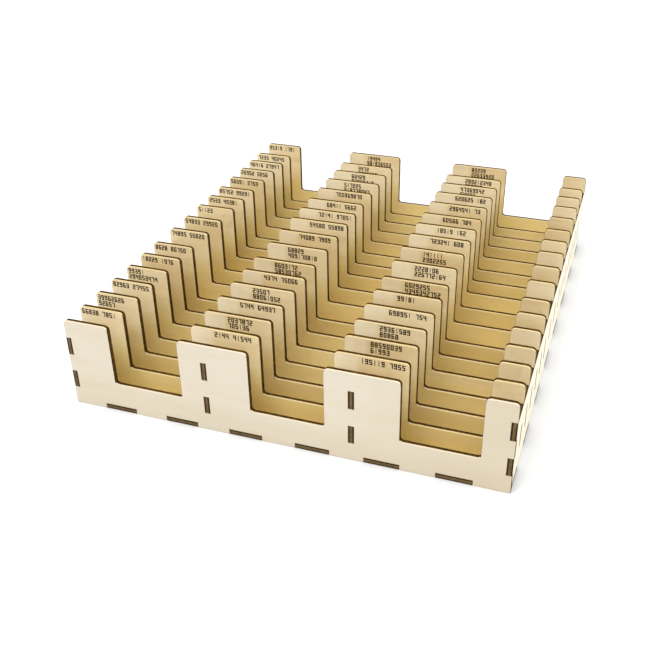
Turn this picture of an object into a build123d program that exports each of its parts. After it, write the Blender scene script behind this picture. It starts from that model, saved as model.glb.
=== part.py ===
from build123d import *
import os

# An open storage tray for board game pieces, cut from flat plywood plates.
# Cross panels stand one behind the other and make the cells, two dividers
# part the cells into columns, and side walls, a base and two end panels
# close the tray. Plates meet in tabs and slots, or lap halfway where they cross.
#
# Millimetres. X is the width, Y runs from the front panel to the back panel
# and Z is up. The plates are laid out from the front left bottom corner, and
# moved at the end so that the origin lies under the middle of the tray.

# Driving dimensions
sheet = 3.0               # thickness of the plywood
fit_gap = 0.05            # clearance on each side of a tab in its slot
tray_width = 245.0        # outside, over the side walls
column_count = 3          # columns of cells, side by side
wall_height = 42.8        # side walls and dividers
ear_height = 10.7         # how far the panels stand above the walls
cell_depth = 13.3         # clear depth of the first cell
cell_extra = [0.0, 0.0, 0.2, 1.2, 0.4, 0.2, 5.3, 3.2,
              3.0, 0.5, 0.3, 2.9, 1.7, 0.7, -0.5, 6.0]  # added to it, front to back

# Finger notches in the top of each panel
left_lip = 23.8           # from a column's left side to the notch
right_lip = 12.9          # from the notch to the column's right side
notch_floor = 17.5        # height of the notch's floor above the table
top_radius = 2.5          # rounding of the panels' top corners
floor_radius = 2.0        # rounding of the notch's floor corners

# Tabs
end_tab_low = 10.7        # height at which the walls' lower end tab starts
end_tab_height = 10.7     # of each of the two end tabs; the upper ends at the wall's top
side_tab_low = 16.5       # height at which a cross panel's side tab starts
side_tab_height = 13.5
foot_tab_width = 20.0     # tab under each column of a cross panel
base_front_tabs = 6       # tabs of the base in each end panel
base_side_tabs = 8        # tabs of the base in each side wall
overcut = 1.0             # how far a cutter runs past the plate that it cuts

# Sizes worked out from them
cells = [cell_depth + extra for extra in cell_extra]
tray_depth = sum(cells) + (len(cells) + 1) * sheet
panel_height = wall_height + ear_height
column_clear = (tray_width - (column_count + 1) * sheet) / column_count
column_starts = [sheet + i * (column_clear + sheet) for i in range(column_count)]
divider_starts = [start - sheet for start in column_starts[1:]]
panel_starts = [sum(cells[:i]) + i * sheet for i in range(len(cells) + 1)]
cross_starts = panel_starts[1:-1]
lap_height = (sheet + wall_height) / 2
end_tabs = [
    (end_tab_low, end_tab_low + end_tab_height),
    (wall_height - end_tab_height, wall_height),
]
side_tab = (side_tab_low, side_tab_low + side_tab_height)
feet = [
    (start + (column_clear - foot_tab_width) / 2, start + (column_clear + foot_tab_width) / 2)
    for start in column_starts
]


def block(x, y, z):
    """A box between the low and high value of each axis."""
    size = [high - low for low, high in (x, y, z)]
    middle = [(high + low) / 2 for low, high in (x, y, z)]
    return Pos(*middle) * Box(*size)


def eased(span):
    """A tab's span, widened to its slot's."""
    return span[0] - fit_gap, span[1] + fit_gap


def through(low, high):
    """A span that runs past both faces of a plate."""
    return low - overcut, high + overcut


def base_tab_spans(length, count, first_is_tab):
    """Equal steps along an edge, tab and gap by turns."""
    steps = 2 * count + (-1 if first_is_tab else 1)
    step = length / steps
    first = 0 if first_is_tab else 1
    return [(n * step, (n + 1) * step) for n in range(first, steps, 2)]


front_tab_spans = base_tab_spans(tray_width, base_front_tabs, False)
side_tab_spans = [
    (max(low, sheet), min(high, tray_depth - sheet))
    for low, high in base_tab_spans(tray_depth, base_side_tabs, True)
]


def rounded(plate, corners, radius):
    """Rounds the edges that run through the plate at the given (x, z) corners."""
    edges = [
        edge
        for edge in plate.edges().filter_by(Axis.Y)
        for x, z in corners
        if abs(edge.center().X - x) < 0.01 and abs(edge.center().Z - z) < 0.01
    ]
    return fillet(edges, radius)


def notched(plate):
    """Cuts one finger notch for each column and rounds the corners."""
    top_corners = [(0, panel_height), (tray_width, panel_height)]
    floor_corners = []
    for start in column_starts:
        sides = (start + left_lip, start + column_clear - right_lip)
        plate -= block(sides, through(0, sheet), (notch_floor, panel_height + overcut))
        top_corners += [(x, panel_height) for x in sides]
        floor_corners += [(x, notch_floor) for x in sides]
    plate = rounded(plate, top_corners, min(top_radius, 0.45 * ear_height))
    return rounded(plate, floor_corners, floor_radius)


def end_panel():
    """Front or back panel: notches, and slots for the walls, dividers and base."""
    plate = notched(block((0, tray_width), (0, sheet), (0, panel_height)))
    for tab in end_tabs:
        for start in divider_starts:
            plate -= block(eased((start, start + sheet)), through(0, sheet), eased(tab))
        plate -= block((-overcut, sheet + fit_gap), through(0, sheet), eased(tab))
        plate -= block(
            (tray_width - sheet - fit_gap, tray_width + overcut), through(0, sheet), eased(tab)
        )
    for span in front_tab_spans:
        plate -= block(eased(span), through(0, sheet), (-overcut, sheet + fit_gap))
    return plate


def cross_panel():
    """A panel between two cells: ears over the walls, side tabs, feet and lap slots."""
    plate = block((0, tray_width), (0, sheet), (wall_height, panel_height))
    plate += block((sheet, tray_width - sheet), (0, sheet), (sheet, wall_height))
    plate += block((0, tray_width), (0, sheet), side_tab)
    for foot in feet:
        plate += block(foot, (0, sheet), (0, sheet))
    plate = notched(plate)
    for start in divider_starts:
        plate -= block(
            eased((start, start + sheet)), through(0, sheet), (-overcut, lap_height + fit_gap)
        )
    return plate


def lengthwise_plate(bottom):
    """The common outline of a side wall and a divider, with its end tabs."""
    plate = block((0, sheet), (sheet, tray_depth - sheet), (bottom, wall_height))
    for tab in end_tabs:
        plate += block((0, sheet), (0, tray_depth), tab)
    return plate


def side_wall():
    """Side wall: slots for the cross panels' side tabs and the base's tabs."""
    plate = lengthwise_plate(0)
    for start in cross_starts:
        plate -= block(through(0, sheet), eased((start, start + sheet)), eased(side_tab))
    for span in side_tab_spans:
        plate -= block(through(0, sheet), eased(span), (-overcut, sheet + fit_gap))
    return plate


def divider():
    """Divider: stands on the base, and each cross panel drops into its lap slots."""
    plate = lengthwise_plate(sheet)
    for start in cross_starts:
        plate -= block(
            through(0, sheet),
            eased((start, start + sheet)),
            (lap_height - fit_gap, wall_height + overcut),
        )
    return plate


def base():
    """Base: tabs on all four edges and a slot for each foot of the cross panels."""
    plate = block((sheet, tray_width - sheet), (sheet, tray_depth - sheet), (0, sheet))
    for span in front_tab_spans:
        plate += block(span, (0, tray_depth), (0, sheet))
    for span in side_tab_spans:
        plate += block((0, tray_width), span, (0, sheet))
    for start in cross_starts:
        for foot in feet:
            plate -= block(eased(foot), eased((start, start + sheet)), through(0, sheet))
    return plate


def place(piece, x=0.0, y=0.0):
    """Moves a piece from the layout corner to its place about the origin."""
    return Pos(x - tray_width / 2, y - tray_depth / 2, 0) * piece


end_piece = end_panel()
wall_piece = side_wall()
divider_piece = divider()
cross_piece = cross_panel()

parts = {
    "base_panel": place(base()),
    "front_panel": place(end_piece),
    "back_panel": place(end_piece, y=tray_depth - sheet),
    "left_wall": place(wall_piece),
    "right_wall": place(wall_piece, x=tray_width - sheet),
    "left_divider": place(divider_piece, x=divider_starts[0]),
    "right_divider": place(divider_piece, x=divider_starts[-1]),
}
for number, start in enumerate(cross_starts, 1):
    parts[f"cross_panel_{number:02d}"] = place(cross_piece, y=start)

os.makedirs("parts", exist_ok=True)
for name, piece in parts.items():
    export_step(piece, f"parts/{name}.step")
    print(name, round(piece.volume), "mm3")
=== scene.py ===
import math
import random

import bpy
from mathutils import Matrix, Vector


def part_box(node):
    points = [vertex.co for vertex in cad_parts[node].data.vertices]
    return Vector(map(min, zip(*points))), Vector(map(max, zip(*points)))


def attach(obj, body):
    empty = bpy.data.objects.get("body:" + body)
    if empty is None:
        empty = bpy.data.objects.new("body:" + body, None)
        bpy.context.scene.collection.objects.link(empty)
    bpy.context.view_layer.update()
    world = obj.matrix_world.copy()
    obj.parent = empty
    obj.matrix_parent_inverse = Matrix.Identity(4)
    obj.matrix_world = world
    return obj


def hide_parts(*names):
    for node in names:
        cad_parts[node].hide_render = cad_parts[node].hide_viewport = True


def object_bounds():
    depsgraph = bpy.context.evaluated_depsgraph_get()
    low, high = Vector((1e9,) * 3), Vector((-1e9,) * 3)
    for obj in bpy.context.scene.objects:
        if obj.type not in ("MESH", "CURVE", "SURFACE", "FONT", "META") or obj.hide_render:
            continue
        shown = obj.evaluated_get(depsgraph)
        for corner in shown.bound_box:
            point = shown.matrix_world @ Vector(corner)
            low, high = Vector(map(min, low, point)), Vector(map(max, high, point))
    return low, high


# A plywood storage tray: cross panels with finger notches between two end panels,
# two side walls and two dividers, all cut on a laser, so every cut edge is scorched.
# Metres. X is the width, Y runs from the front panel to the back panel, Z is up.

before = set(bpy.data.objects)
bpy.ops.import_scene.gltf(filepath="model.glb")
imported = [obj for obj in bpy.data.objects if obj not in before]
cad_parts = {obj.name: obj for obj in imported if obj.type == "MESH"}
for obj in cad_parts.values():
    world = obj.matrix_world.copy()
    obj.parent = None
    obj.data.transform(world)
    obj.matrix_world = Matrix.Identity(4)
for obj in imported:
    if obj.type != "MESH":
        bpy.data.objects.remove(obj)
cadLow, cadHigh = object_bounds()
print("frame loaded:", len(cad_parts), "plates")

mm = 0.001

sheetValues = {
    "softEdge": 0.12 * mm,      # the tiny rounding of every cut edge
    "cornerAngle": 50,          # degrees; flatter corners than this stay as they are
    "flatAngle": 0.5,           # degrees; faces flatter than this are joined
    "smoothAngle": 30,          # degrees
    "scorchWidth": 0.7 * mm,    # band of smoke stain beside a cut edge
    "sameSpot": 0.002 * mm,     # corners closer than this are one
    "square": 0.98,             # how straight a face looks along the plate's thin axis
    "outward": 0.6,             # how straight a tab's end and its soft edges look outward
    "endReach": 0.2 * mm,       # how near the tray's outside a tab's end lies
    "sideReach": 1.0 * mm,      # how near a side of the plate a corner of it lies
}

cameraValues = {
    "place": (0.15490, -0.49095, 0.30150),
    "right": (0.9440, 0.3297, -0.0123),
    "up": (-0.1627, 0.4975, 0.8521),
    "lens": 49.217,
}

lightValues = {
    "horizonLight": 0.465,
    "zenithLight": 1.68,
    "keyPlace": (-1.3, -1.9, 3.1),     # front left, high up
    "keyPower": 45.0,
    "keySize": 2.4,
    "topPlace": (-0.02, -0.15, 0.56),  # over the front edge: it reaches the far cells
    "topPower": 0.72,
    "topSize": 0.42,
    "rightPower": 5.4,
    "rightTint": (0.74, 0.86, 1.0),
    "rightPlace": (0.8, 0.15, 0.12),   # low beside the right wall
    "rightHeight": 0.2,
    "rightLength": 0.9,
    "floorSize": 12,
    "floorDrop": 0.05 * mm,
    "floorPaint": (0.74, 0.74, 0.745),
}


def setMode(mode):
    bpy.ops.object.mode_set(mode=mode)


def pickOnly(piece):
    if bpy.context.object and bpy.context.object.mode != "OBJECT":
        setMode("OBJECT")
    bpy.ops.object.select_all(action="DESELECT")
    piece.select_set(True)
    bpy.context.view_layer.objects.active = piece


def pickFaces(piece, wanted):
    # Leaves the piece in edit mode with only the wanted faces selected.
    mesh = piece.data
    for part in (*mesh.vertices, *mesh.edges):
        part.select = False
    for face in mesh.polygons:
        face.select = wanted(face)
    bpy.context.tool_settings.mesh_select_mode = (False, False, True)
    setMode("EDIT")


def addCamera():
    values = cameraValues
    right, up = Vector(values["right"]), Vector(values["up"])
    right.normalize()
    up = (up - up.dot(right) * right).normalized()
    back = right.cross(up)
    turn = Matrix((right, up, back)).transposed()
    bpy.ops.object.camera_add(location=values["place"], rotation=turn.to_euler())
    camera = bpy.context.object
    camera.name = "trayCamera"
    camera.data.lens = values["lens"]
    camera.data.sensor_width = 36
    camera.data.clip_end = 50
    bpy.context.scene.camera = camera


def addLights():
    values = lightValues
    room = bpy.data.worlds.new("whiteRoom")
    bpy.context.scene.world = room
    room.use_nodes = True
    sky = room.node_tree.nodes["Background"]
    sky.inputs["Color"].default_value = (1, 1, 1, 1)
    way = room.node_tree.nodes.new("ShaderNodeTexCoord")
    split = room.node_tree.nodes.new("ShaderNodeSeparateXYZ")
    room.node_tree.links.new(way.outputs["Generated"], split.inputs[0])
    rise = room.node_tree.nodes.new("ShaderNodeMapRange")
    room.node_tree.links.new(split.outputs["Z"], rise.inputs["Value"])
    rise.inputs["To Min"].default_value = values["horizonLight"]
    rise.inputs["To Max"].default_value = values["zenithLight"]
    seen = room.node_tree.nodes.new("ShaderNodeLightPath")
    pick = room.node_tree.nodes.new("ShaderNodeMix")  # the room itself looks plain white
    room.node_tree.links.new(seen.outputs["Is Camera Ray"], pick.inputs[0])
    room.node_tree.links.new(rise.outputs[0], pick.inputs[2])
    pick.inputs[3].default_value = 1.0
    room.node_tree.links.new(pick.outputs[0], sky.inputs["Strength"])
    for name in ("key", "top"):
        aim = Vector(values[name + "Place"]).to_track_quat("Z", "Y").to_euler()
        bpy.ops.object.light_add(type="AREA", location=values[name + "Place"], rotation=aim)
        lamp = bpy.context.object
        lamp.name = name + "Light"
        lamp.visible_camera = False
        lamp.data.energy = values[name + "Power"]
        lamp.data.shape = "DISK"
        lamp.data.size = values[name + "Size"]
    bpy.ops.object.light_add(
        type="AREA", location=values["rightPlace"], rotation=(0, math.radians(90), 0)
    )
    side = bpy.context.object
    side.name = "rightLight"
    side.data.energy = values["rightPower"]
    side.data.color = values["rightTint"]
    side.data.shape = "RECTANGLE"
    side.data.size = values["rightHeight"]
    side.data.size_y = values["rightLength"]
    bpy.context.scene.view_settings.view_transform = "Standard"


def addFloor():
    values = lightValues
    bpy.ops.mesh.primitive_plane_add(
        size=values["floorSize"], location=(0, 0, -values["floorDrop"])
    )
    floor = bpy.context.object
    floor.name = "paleFloor"
    paint = bpy.data.materials.new("paleFloorPaint")
    paint.use_nodes = True
    shader = paint.node_tree.nodes["Principled BSDF"]
    shader.inputs["Base Color"].default_value = (*values["floorPaint"], 1)
    shader.inputs["Roughness"].default_value = 0.9
    shader.inputs["Specular IOR Level"].default_value = 0.1
    floor.data.materials.append(paint)


addCamera()
addLights()
addFloor()
print("camera, lights and floor set")


# Shader groups

def newGroup(name, inputs, outputs):
    group = bpy.data.node_groups.new(name, "ShaderNodeTree")
    for label, kind in inputs:
        group.interface.new_socket(name=label, in_out="INPUT", socket_type=kind)
    for label in outputs:
        group.interface.new_socket(name=label, in_out="OUTPUT", socket_type="NodeSocketFloat")
    return group, group.nodes.new("NodeGroupInput"), group.nodes.new("NodeGroupOutput")


def maths(tree, operation, first, second=None, third=None):
    node = tree.nodes.new("ShaderNodeMath")
    node.operation = operation
    for slot, value in enumerate((first, second, third)):
        if value is None:
            continue
        if isinstance(value, (int, float)):
            node.inputs[slot].default_value = value
        else:
            tree.links.new(value, node.inputs[slot])
    return node.outputs[0]


def blendColours(tree, share, first, second, mode="MIX"):
    node = tree.nodes.new("ShaderNodeMix")
    node.data_type = "RGBA"
    node.blend_type = mode
    tree.links.new(share, node.inputs[0])
    for socket, value in ((node.inputs[6], first), (node.inputs[7], second)):
        if isinstance(value, tuple):
            socket.default_value = (*value, 1)
        else:
            tree.links.new(value, socket)
    return node.outputs[2]


def spread(tree, value, low, high, newLow=0.0, newHigh=1.0):
    node = tree.nodes.new("ShaderNodeMapRange")
    node.interpolation_type = "SMOOTHSTEP"
    tree.links.new(value, node.inputs["Value"])
    node.inputs["From Min"].default_value = low
    node.inputs["From Max"].default_value = high
    node.inputs["To Min"].default_value = newLow
    node.inputs["To Max"].default_value = newHigh
    return node.outputs[0]


def noise(tree, place, scale, detail, roughness, distortion=0.0):
    node = tree.nodes.new("ShaderNodeTexNoise")
    tree.links.new(place, node.inputs["Vector"])
    node.inputs["Scale"].default_value = scale
    node.inputs["Detail"].default_value = detail
    node.inputs["Roughness"].default_value = roughness
    node.inputs["Distortion"].default_value = distortion
    return node.outputs["Fac"]


figureValues = {
    "grainSqueeze": 0.12,              # how much slower the pattern runs along the grain
    "plateShift": (3.1, 7.7, 5.3),
    "Mottle": (22, 3, 0.55, 0.4),      # scale, detail, roughness, distortion
    "Streaks": (160, 4, 0.6, 0.2),
    "Fibres": (1100, 3, 0.7),
}


def makeFigureGroup():
    # Place comes squeezed along the grain; Plate shifts the pattern from plate to plate.
    values = figureValues
    patterns = ("Mottle", "Streaks", "Fibres")
    group, inward, outward = newGroup(
        "plyFigure", [("Place", "NodeSocketVector"), ("Plate", "NodeSocketFloat")], patterns
    )
    shift = group.nodes.new("ShaderNodeVectorMath")
    shift.operation = "ADD"
    ways = group.nodes.new("ShaderNodeCombineXYZ")
    for axis, reach in enumerate(values["plateShift"]):
        group.links.new(maths(group, "MULTIPLY", inward.outputs["Plate"], reach), ways.inputs[axis])
    group.links.new(inward.outputs["Place"], shift.inputs[0])
    group.links.new(ways.outputs[0], shift.inputs[1])
    for pattern in patterns:
        figure = noise(group, shift.outputs[0], *values[pattern])
        group.links.new(figure, outward.inputs[pattern])
    return group


# Shares of the plate's thickness count from its first side. In a four-number ramp the
# first two are where it starts and ends, and the last two the values it gives there.
scorchValues = {
    "waver": (900, 2, 0.5),            # scale, detail, roughness
    "waverReach": 0.12,                # how far the border of the light veneer wanders
    "veneerBorder": (-0.05, 0.05),
    "coreBorder": (0.30, 0.18),        # distance from the middle ply
    "char": (420, 4, 0.6),
    "charRamp": (0.35, 0.7),
    "coreRamp": (0.2, 0.7, 0.45, 1),
    "topVeneer": (0.3, 0.8, 0.0, 0.34),  # light veneer on edges that face up, and painted highlight: only up-facing edges get it
    "sideways": (0.5, 0.1, 0, 0.12),   # edges that face sideways are less burnt
    "sideRamp": (0.2, 0.9),            # the more so towards the back of the plate
    "roughness": (0.3, 0.7, 0.65, 0.85),
    "bumpStrength": 0.3,
    "bumpHeight": 0.2 * mm,
    "soot": (1500, 3, 0.6),            # in the engraved numbers
    "sootRamp": (0.45, 0.85),
    "dull": 0.85,                      # roughness of tab ends and numbers
}


def makeScorchGroup():
    # Burnt wood. Across runs from 0 at the plate's first side to 1 at its other side.
    values = scorchValues
    group, inward, outward = newGroup(
        "laserScorch",
        [
            ("Place", "NodeSocketVector"),
            ("Across", "NodeSocketFloat"),
            ("Light veneer", "NodeSocketFloat"),
        ],
        ("Char", "Veneer", "Core"),
    )
    waver = noise(group, inward.outputs["Place"], *values["waver"])
    waver = maths(group, "SUBTRACT", waver, 0.5)
    waver = maths(group, "MULTIPLY", waver, values["waverReach"])
    across = maths(group, "ADD", inward.outputs["Across"], waver)
    # the light rim: front veneer, and painted highlight where the edge faces up
    veneer = maths(group, "SUBTRACT", inward.outputs["Light veneer"], across)
    group.links.new(spread(group, veneer, *values["veneerBorder"]), outward.inputs["Veneer"])
    core = maths(group, "ABSOLUTE", maths(group, "SUBTRACT", across, 0.5))
    group.links.new(spread(group, core, *values["coreBorder"]), outward.inputs["Core"])
    char = noise(group, inward.outputs["Place"], *values["char"])
    group.links.new(char, outward.inputs["Char"])
    return group


figureGroup = makeFigureGroup()
scorchGroup = makeScorchGroup()


def newMaterial(name):
    material = bpy.data.materials.new(name)
    material.use_nodes = True
    tree = material.node_tree
    return material, tree, tree.nodes["Principled BSDF"]


def placeOf(tree):
    return tree.nodes.new("ShaderNodeTexCoord").outputs["Object"]


def squeezed(tree, place, squeeze):
    mapping = tree.nodes.new("ShaderNodeMapping")
    mapping.inputs["Scale"].default_value = squeeze
    tree.links.new(place, mapping.inputs["Vector"])
    return mapping.outputs["Vector"]


def splitAxes(tree, vector):
    split = tree.nodes.new("ShaderNodeSeparateXYZ")
    tree.links.new(vector, split.inputs[0])
    return split.outputs


def attribute(tree, name):
    node = tree.nodes.new("ShaderNodeAttribute")
    node.attribute_name = name
    return node.outputs["Fac"]


def addGroup(tree, group, **inputs):
    node = tree.nodes.new("ShaderNodeGroup")
    node.node_tree = group
    for label, value in inputs.items():
        tree.links.new(value, node.inputs[label.replace("_", " ")])
    return node.outputs


def addBump(tree, shader, height, values):
    bump = tree.nodes.new("ShaderNodeBump")
    bump.inputs["Strength"].default_value = values["bumpStrength"]
    bump.inputs["Distance"].default_value = values["bumpHeight"]
    tree.links.new(height, bump.inputs["Height"])
    tree.links.new(bump.outputs["Normal"], shader.inputs["Normal"])


plyColours = {
    # pale and warm are one plywood in two copies, painted light: pale where the outside is lit,
    # warm inside the tray where light bounces
    "pale": (0.660, 0.598, 0.482),
    # painted shade: the outer colour further right, where the light falls off
    "paleRight": (0.612, 0.538, 0.400),
    "warm": (0.800, 0.703, 0.505),
    # painted shade deep in the cells, golden from bounced light
    "golden": (0.815, 0.672, 0.298),
    "shade": (0.800, 0.720, 0.560),
    # pale patches on inner faces: painted highlight
    "cloud": (0.860, 0.765, 0.550),
    "streak": (0.640, 0.500, 0.320),
    "smoke": (0.560, 0.400, 0.200),
    "haze": (0.935, 0.870, 0.720),
    "ear": (0.890, 0.872, 0.850),
    "char": (0.040, 0.019, 0.004),
    "charLight": (0.090, 0.047, 0.011),
    "charBack": (0.210, 0.130, 0.045),
    # the light rim's colours: veneer and painted highlight
    "rimPale": (0.660, 0.570, 0.430),
    "rimGolden": (0.590, 0.455, 0.220),
    "number": (0.030, 0.015, 0.004),
    "tabDark": (0.030, 0.016, 0.005),
    "tabCore": (0.165, 0.112, 0.052),
}


hazeValues = {
    "firstLabel": -121.2 * mm,         # where the first column's label starts
    "before": 4.5 * mm,                # the smoke starts this much left of a label
    "columnPitch": 80.7 * mm,
    "fadeIn": (1.0 * mm, 4.5 * mm),
    "fadeOut": (36 * mm, 30 * mm),
    "height": (36 * mm, 44 * mm),      # heights between which it fades in
    "ears": (104.5 * mm, 106.0 * mm),
    "earShare": 0.9,
    "mottled": (0.3, 0.65, 0.45, 1.0),
}


def numberHaze(tree, split, mottle):
    # Smoke from engraving the numbers: from each label to the finger notch, near the top.
    values = hazeValues
    along = maths(tree, "ADD", split["X"], values["before"] - values["firstLabel"])
    along = maths(tree, "ADD", along, values["columnPitch"])
    along = maths(tree, "MODULO", along, values["columnPitch"])
    fadeIn = spread(tree, along, *values["fadeIn"])
    haze = maths(tree, "MULTIPLY", fadeIn, spread(tree, along, *values["fadeOut"]))
    ears = maths(tree, "MULTIPLY", spread(tree, split["X"], *values["ears"]), values["earShare"])
    haze = maths(tree, "MAXIMUM", haze, ears)
    haze = maths(tree, "MULTIPLY", haze, spread(tree, split["Z"], *values["height"]))
    haze = maths(tree, "MULTIPLY", haze, attribute(tree, "hazed"))
    return maths(tree, "MULTIPLY", haze, spread(tree, mottle, *values["mottled"]))


faceValues = {
    "golden": (48 * mm, 22 * mm),      # heights between which painted shade turns inner faces golden, deeper in the cells
    "rightward": (30 * mm, 120 * mm),  # X over which painted shade darkens the outer faces, as the light from the left falls off
    "shade": (0.45, 0.68, 0, 0.62),
    "outerShade": 0.3,                 # the share of the shade that outer faces have
    # painted highlight patches, inner faces only
    "cloud": (0.48, 0.3, 0, 0.5),
    "streaks": (0.48, 0.75, 0, 0.34),
    "fibres": (0.45, 0.75, 0, 0.27),
    "soot": (110, 2, 0.5, 0.6),        # scale, detail, roughness, distortion
    "sootRamp": (0.56, 0.74, 0, 0.4),
    "scorchPower": 2.0,
    "scorchShare": 0.15,
    "roughness": (0.3, 0.7, 0.5, 0.68),
    "bumpStrength": 0.25,
    "bumpHeight": 0.2 * mm,
}


def makeFaceMaterial(name, squeeze):
    values, colours = faceValues, plyColours
    material, tree, shader = newMaterial(name)
    place = placeOf(tree)
    split = splitAxes(tree, place)
    warmth = attribute(tree, "warmth")
    figure = addGroup(
        tree, figureGroup, Place=squeezed(tree, place, squeeze), Plate=attribute(tree, "plate")
    )
    mottle = figure["Mottle"]
    # painted shade: inner faces turn golden downwards, deeper in the cells; outer faces are paler
    golden = spread(tree, split["Z"], *values["golden"])
    inner = blendColours(tree, golden, colours["warm"], colours["golden"])
    # painted shade: outer faces darker towards the right
    rightward = spread(tree, split["X"], *values["rightward"])
    outer = blendColours(tree, rightward, colours["pale"], colours["paleRight"])
    # painted light: faces inside the tray take the warm copy, outer sides the pale one; the small
    # share left varies the tone from plate to plate
    base = blendColours(tree, warmth, outer, inner)
    # the veneer's own figure, with painted highlight: pale cloud patches on inner faces
    stronger = maths(
        tree, "MULTIPLY_ADD", warmth, 1 - values["outerShade"], values["outerShade"]
    )
    shade = maths(tree, "MULTIPLY", spread(tree, mottle, *values["shade"]), stronger)
    mottled = blendColours(tree, shade, base, colours["shade"], "MULTIPLY")
    cloud = maths(tree, "MULTIPLY", spread(tree, mottle, *values["cloud"]), warmth)
    mottled = blendColours(tree, cloud, mottled, colours["cloud"])
    streaks = spread(tree, figure["Streaks"], *values["streaks"])
    streaked = blendColours(tree, streaks, mottled, colours["streak"])
    fibres = spread(tree, figure["Fibres"], *values["fibres"])
    grained = blendColours(tree, fibres, streaked, colours["streak"])
    # smoke round the numbers and beside the cuts
    haze = numberHaze(tree, split, mottle)
    hazed = blendColours(tree, haze, grained, colours["haze"], "MULTIPLY")
    soot = spread(tree, noise(tree, place, *values["soot"]), *values["sootRamp"])
    hazed = blendColours(tree, maths(tree, "MULTIPLY", soot, haze), hazed, colours["smoke"])
    ears = spread(tree, split["X"], *hazeValues["ears"])
    ears = maths(tree, "MULTIPLY", ears, attribute(tree, "hazed"))
    hazed = blendColours(tree, ears, hazed, colours["ear"], "MULTIPLY")
    scorch = maths(tree, "POWER", attribute(tree, "nearCut"), values["scorchPower"])
    scorch = maths(tree, "MULTIPLY", scorch, values["scorchShare"])
    stained = blendColours(tree, scorch, hazed, colours["smoke"])
    tree.links.new(stained, shader.inputs["Base Color"])
    roughness = spread(tree, figure["Fibres"], *values["roughness"])
    tree.links.new(roughness, shader.inputs["Roughness"])
    addBump(tree, shader, figure["Fibres"], values)
    shader.inputs["Specular IOR Level"].default_value = 0.25
    return material


def makeTabMaterial():
    values, colours = scorchValues, plyColours
    material, tree, shader = newMaterial("tabEnd")
    scorch = addGroup(tree, scorchGroup, Place=placeOf(tree), Across=attribute(tree, "across"))
    charred = spread(tree, scorch["Char"], *values["charRamp"])
    burnt = blendColours(tree, charred, colours["tabDark"], colours["char"])
    core = spread(tree, scorch["Char"], *values["coreRamp"])
    core = maths(tree, "MULTIPLY", scorch["Core"], core)
    colour = blendColours(tree, core, burnt, colours["tabCore"])
    tree.links.new(colour, shader.inputs["Base Color"])
    shader.inputs["Roughness"].default_value = values["dull"]
    shader.inputs["Specular IOR Level"].default_value = 0.1
    return material


def makeCutMaterial():
    values, colours = scorchValues, plyColours
    material, tree, shader = newMaterial("scorchedEdge")
    across = attribute(tree, "across")
    upward = splitAxes(tree, tree.nodes.new("ShaderNodeNewGeometry").outputs["True Normal"])["Z"]
    # painted highlight: the light rim grows as the edge faces up
    veneer = spread(tree, upward, *values["topVeneer"])
    scorch = addGroup(
        tree, scorchGroup, Place=placeOf(tree), Across=across, Light_veneer=veneer
    )
    charred = spread(tree, scorch["Char"], *values["charRamp"])
    burnt = blendColours(tree, charred, colours["char"], colours["charLight"])
    paler = spread(tree, across, *values["sideRamp"])
    paler = maths(tree, "MULTIPLY", paler, spread(tree, upward, *values["sideways"]))
    burnt = blendColours(tree, paler, burnt, colours["charBack"])
    warmth = attribute(tree, "warmth")
    # painted light: rims inside the tray take the golden copy
    rim = blendColours(tree, warmth, colours["rimPale"], colours["rimGolden"])
    # the light rim, partly veneer, partly painted highlight
    colour = blendColours(tree, scorch["Veneer"], burnt, rim)
    tree.links.new(colour, shader.inputs["Base Color"])
    roughness = spread(tree, scorch["Char"], *values["roughness"])
    tree.links.new(roughness, shader.inputs["Roughness"])
    shader.inputs["Specular IOR Level"].default_value = 0.0
    addBump(tree, shader, scorch["Char"], values)
    return material


def makeNumberMaterial():
    values, colours = scorchValues, plyColours
    material, tree, shader = newMaterial("engravedNumber")
    soot = noise(tree, placeOf(tree), *values["soot"])
    soot = spread(tree, soot, *values["sootRamp"])
    colour = blendColours(tree, soot, colours["number"], colours["charLight"])
    tree.links.new(colour, shader.inputs["Base Color"])
    shader.inputs["Roughness"].default_value = values["dull"]
    shader.inputs["Specular IOR Level"].default_value = 0.15
    return material


grainSqueeze = figureValues["grainSqueeze"]
faceAcross = makeFaceMaterial("plyGrainAcross", (grainSqueeze, 1, 1))
faceLong = makeFaceMaterial("plyGrainLong", (1, grainSqueeze, 1))
cutEdge = makeCutMaterial()
tabEnd = makeTabMaterial()
numberBurn = makeNumberMaterial()
print("materials made")


# Plates

def pieceName(node):
    first, *rest = node.split("_")
    return first + "".join(word.capitalize() for word in rest) + "Ply"


def thicknessAxis(node):
    low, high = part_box(node)
    size = high - low
    return min(range(3), key=lambda axis: size[axis])


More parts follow.
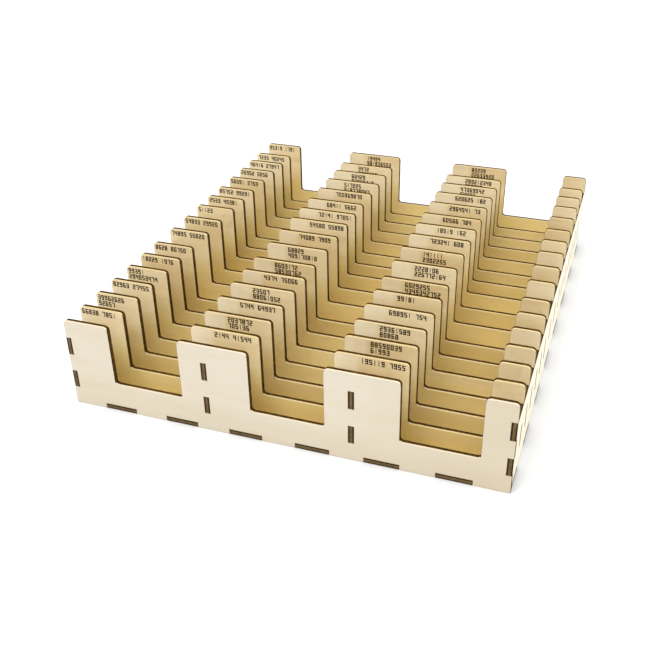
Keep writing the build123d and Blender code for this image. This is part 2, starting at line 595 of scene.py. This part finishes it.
def buildPlate(node):
    values = sheetValues
    axis = thicknessAxis(node)
    piece = bpy.data.objects.new(pieceName(node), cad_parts[node].data.copy())
    bpy.context.scene.collection.objects.link(piece)
    piece.data.materials.clear()
    pickOnly(piece)
    setMode("EDIT")
    bpy.ops.mesh.select_all(action="SELECT")
    bpy.ops.mesh.remove_doubles(threshold=values["sameSpot"])
    bpy.ops.mesh.dissolve_limited(angle_limit=math.radians(values["flatAngle"]))
    setMode("OBJECT")
    bevel = piece.modifiers.new("softEdge", "BEVEL")
    bevel.width = values["softEdge"]
    bevel.segments = 1
    bevel.limit_method = "ANGLE"
    bevel.angle_limit = math.radians(values["cornerAngle"])
    bevel.use_clamp_overlap = False
    bpy.ops.object.modifier_apply(modifier=bevel.name)
    pickFaces(piece, lambda face: abs(face.normal[axis]) > values["square"])
    bpy.ops.mesh.inset(thickness=values["scorchWidth"], use_boundary=True, use_even_offset=True)
    setMode("OBJECT")
    mesh = piece.data
    for material in (faceLong if axis == 0 else faceAcross, cutEdge, numberBurn, tabEnd):
        mesh.materials.append(material)
    for face in mesh.polygons:
        face.material_index = 0 if abs(face.normal[axis]) > values["square"] else 1
        if face.material_index == 1 and atOutside(face, axis):
            face.material_index = 3
    return piece, axis


def atOutside(face, axis):
    # The end of a tab, flush with the outside of the tray, with its soft edges.
    for side in (0, 1):
        if side == axis or abs(face.normal[side]) <= sheetValues["outward"]:
            continue
        middle = face.center[side]
        if min(abs(middle - cadLow[side]), abs(middle - cadHigh[side])) < sheetValues["endReach"]:
            return True
    return False


def markPlate(piece, node, axis, plate, warmth):
    # Writes at every corner what the materials read.
    mesh = piece.data
    low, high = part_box(node)
    outer = outerSide.get(node)
    reach = sheetValues["sideReach"]
    places = [vertex.co[axis] for vertex in mesh.vertices]
    near = [0.0] * len(places)
    for face in mesh.polygons:
        if face.material_index == 1:
            for vertex in face.vertices:
                near[vertex] = 1.0
    marks = {
        "across": [(place - low[axis]) / (high[axis] - low[axis]) for place in places],
        "nearCut": near,
        "plate": [plate] * len(places),
        "hazed": [float(node in numbered and place < low[axis] + reach) for place in places],
        # painted inside light: 0 on a panel's outer side, the plate's share elsewhere
        "warmth": [
            0.0 if outer is not None and abs(place - outer) < reach else warmth
            for place in places
        ],
    }
    for name, numbers in marks.items():
        layer = mesh.attributes.new(name, "FLOAT", "POINT")
        layer.data.foreach_set("value", numbers)


numberValues = {
    "stroke": 0.64 * mm,
    "width": 1.70 * mm,
    "height": 3.20 * mm,
    "pitch": 2.14 * mm,
    "longest": 11,              # digits and gaps in the longest line
    "corner": 0.10 * mm,
    "depth": 0.25 * mm,
    "topGap": 0.95 * mm,
    "linePitch": 3.75 * mm,
    "flatAngle": 1,             # degrees
    "sameSpot": 0.002 * mm,
    "frontReach": 0.01 * mm,    # how near the front side a face of it lies
    "starts": (-0.1212, -0.0406, 0.0403),
    # digits in each number of a line, from the front to the back of each column
    "lines": (
        "5,4 8/5 5,5 5/9 5,4 4,5 5,5 5,5 5 4,5 5,5 5,4 5,4 5,5 4,5 5,4",
        "4,5 7/6 4,5 5/8 4,5 7/8 5/9 5,4 5,5 5,5 5,4 9 6/9 5/8 4/7 5/9",
        "6,4 8/5 8/5 6,3 5 7/10 7/9 6/7 6,3 5,3 5,3 7,2 6,3 8/5 9/6 5/8",
    ),
}

# Squared engraver's digits: five rows of three cells, top row first.
digitCells = {
    "0": "ooo o.o o.o o.o ooo", "1": ".o. .o. .o. .o. .o.", "2": "ooo ..o ooo o.. ooo",
    "3": "ooo ..o ooo ..o ooo", "4": "o.o o.o ooo ..o ..o", "5": "ooo o.. ooo ..o ooo",
    "6": "ooo o.. ooo o.o ooo", "7": "ooo ..o ..o ..o ..o", "8": "ooo o.o ooo o.o ooo",
    "9": "ooo o.o ooo ..o ooo",
}


def makeDigit(sign):
    values = numberValues
    stroke, width, height = values["stroke"], values["width"], values["height"]
    xs = (0, stroke, width - stroke, width)
    middle = (height - stroke) / 2
    zs = (0, stroke, middle, middle + stroke, height - stroke, height)
    bpy.ops.mesh.primitive_grid_add(x_subdivisions=3, y_subdivisions=5, size=2)
    digit = bpy.context.object
    digit.name = "digit" + sign
    for vertex in digit.data.vertices:
        column = round((vertex.co.x + 1) * 1.5)
        row = round((vertex.co.y + 1) * 2.5)
        vertex.co = (xs[column], 0, zs[row])
    cells = digitCells[sign].split()

    def empty(face):
        column = sum(face.center.x > x for x in xs[1:3])
        row = 4 - sum(face.center.z > z for z in zs[1:5])
        return cells[row][column] == "."

    pickFaces(digit, empty)
    bpy.ops.mesh.delete(type="FACE")
    bpy.ops.mesh.select_all(action="SELECT")
    bpy.ops.mesh.dissolve_limited(angle_limit=math.radians(values["flatAngle"]))
    bpy.ops.mesh.select_mode(type="VERT")
    bpy.ops.mesh.select_all(action="SELECT")
    bpy.ops.mesh.bevel(offset=values["corner"], segments=1, affect="VERTICES")
    bpy.ops.mesh.select_all(action="SELECT")
    bpy.ops.mesh.extrude_region_move(TRANSFORM_OT_translate={"value": (0, 2 * values["depth"], 0)})
    bpy.ops.mesh.select_all(action="SELECT")
    bpy.ops.transform.translate(value=(0, -values["depth"], 0))
    bpy.ops.mesh.normals_make_consistent(inside=False)
    setMode("OBJECT")
    digit.data.materials.append(numberBurn)
    return digit


def numberText(sizes):
    # Plain item numbers with the wanted count of digits.
    return " ".join(
        str(random.randrange(10 ** (int(size) - 1), 10 ** int(size))) for size in sizes.split(",")
    )


def splitFront(piece, low, high):
    # Cuts the front face into small fields, so that each digit lies in one of its own.
    values = numberValues
    gap = (values["pitch"] - values["width"]) / 2
    planes = []
    for start in values["starts"]:
        for count in range(values["longest"] + 1):
            planes.append(((start + count * values["pitch"] - gap, 0, 0), (1, 0, 0)))
    between = (values["linePitch"] - values["height"]) / 2
    for line in (1, 2):
        bottom = high.z - values["topGap"] - line * values["linePitch"] + between
        planes.append(((0, 0, bottom), (0, 0, 1)))
    pickFaces(
        piece,
        lambda face: face.normal.y < -sheetValues["square"]
        and abs(face.center.y - low.y) < values["frontReach"],
    )
    bpy.ops.mesh.hide(unselected=True)
    for place, normal in planes:
        bpy.ops.mesh.select_all(action="SELECT")
        bpy.ops.mesh.bisect(plane_co=place, plane_no=normal)
    bpy.ops.mesh.reveal()
    setMode("OBJECT")


def addNumbers(piece, node, row):
    low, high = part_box(node)
    values = numberValues
    splitFront(piece, low, high)
    copies = []
    for column, start in enumerate(values["starts"]):
        lengths = values["lines"][column].split()[row].split("/")
        for line, sizes in enumerate(lengths):
            body = numberText(sizes)
            top = high.z - values["topGap"] - line * values["linePitch"]
            for count, sign in enumerate(body):
                if sign == " ":
                    continue
                digit = bpy.data.objects.new("digitCopy", digits[sign].data.copy())
                bpy.context.scene.collection.objects.link(digit)
                shift = (start + count * values["pitch"], low.y, top - values["height"])
                digit.data.transform(Matrix.Translation(shift))
                copies.append(digit)
    bpy.ops.object.select_all(action="DESELECT")
    for digit in copies:
        digit.select_set(True)
    bpy.context.view_layer.objects.active = copies[0]
    bpy.ops.object.join()
    cutter = bpy.context.object
    pickOnly(piece)
    cut = piece.modifiers.new("numbers", "BOOLEAN")
    cut.operation = "DIFFERENCE"
    cut.solver = "EXACT"
    cut.material_mode = "TRANSFER"
    cut.object = cutter
    bpy.ops.object.modifier_apply(modifier=cut.name)
    bpy.data.objects.remove(cutter)
    setMode("EDIT")
    bpy.ops.mesh.select_all(action="SELECT")
    bpy.ops.mesh.dissolve_degenerate(threshold=values["sameSpot"])
    setMode("OBJECT")


outerSide = {
    "front_panel": cadLow.y,
    "back_panel": cadHigh.y,
    "left_wall": cadLow.x,
    "right_wall": cadHigh.x,
    "base_panel": cadLow.z,
}
random.seed(7)
bpy.ops.object.select_all(action="DESELECT")
digits = {sign: makeDigit(sign) for sign in digitCells}
numbered = [f"cross_panel_{n:02d}" for n in range(1, 16)] + ["back_panel"]
for node in sorted(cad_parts):
    # share of the painted inside light, a little different from plate to plate
    warmth = 0.85 + 0.15 * random.random()
    plate = random.random()
    piece, axis = buildPlate(node)
    if node in numbered:
        addNumbers(piece, node, numbered.index(node))
    markPlate(piece, node, axis, plate, warmth)
    pickOnly(piece)
    bpy.ops.object.shade_smooth_by_angle(angle=math.radians(sheetValues["smoothAngle"]))
    for face in piece.data.polygons:
        if face.material_index == 0:
            face.use_smooth = False
    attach(piece, "root")
    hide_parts(node)
for digit in digits.values():
    bpy.data.objects.remove(digit)
print("plates made")
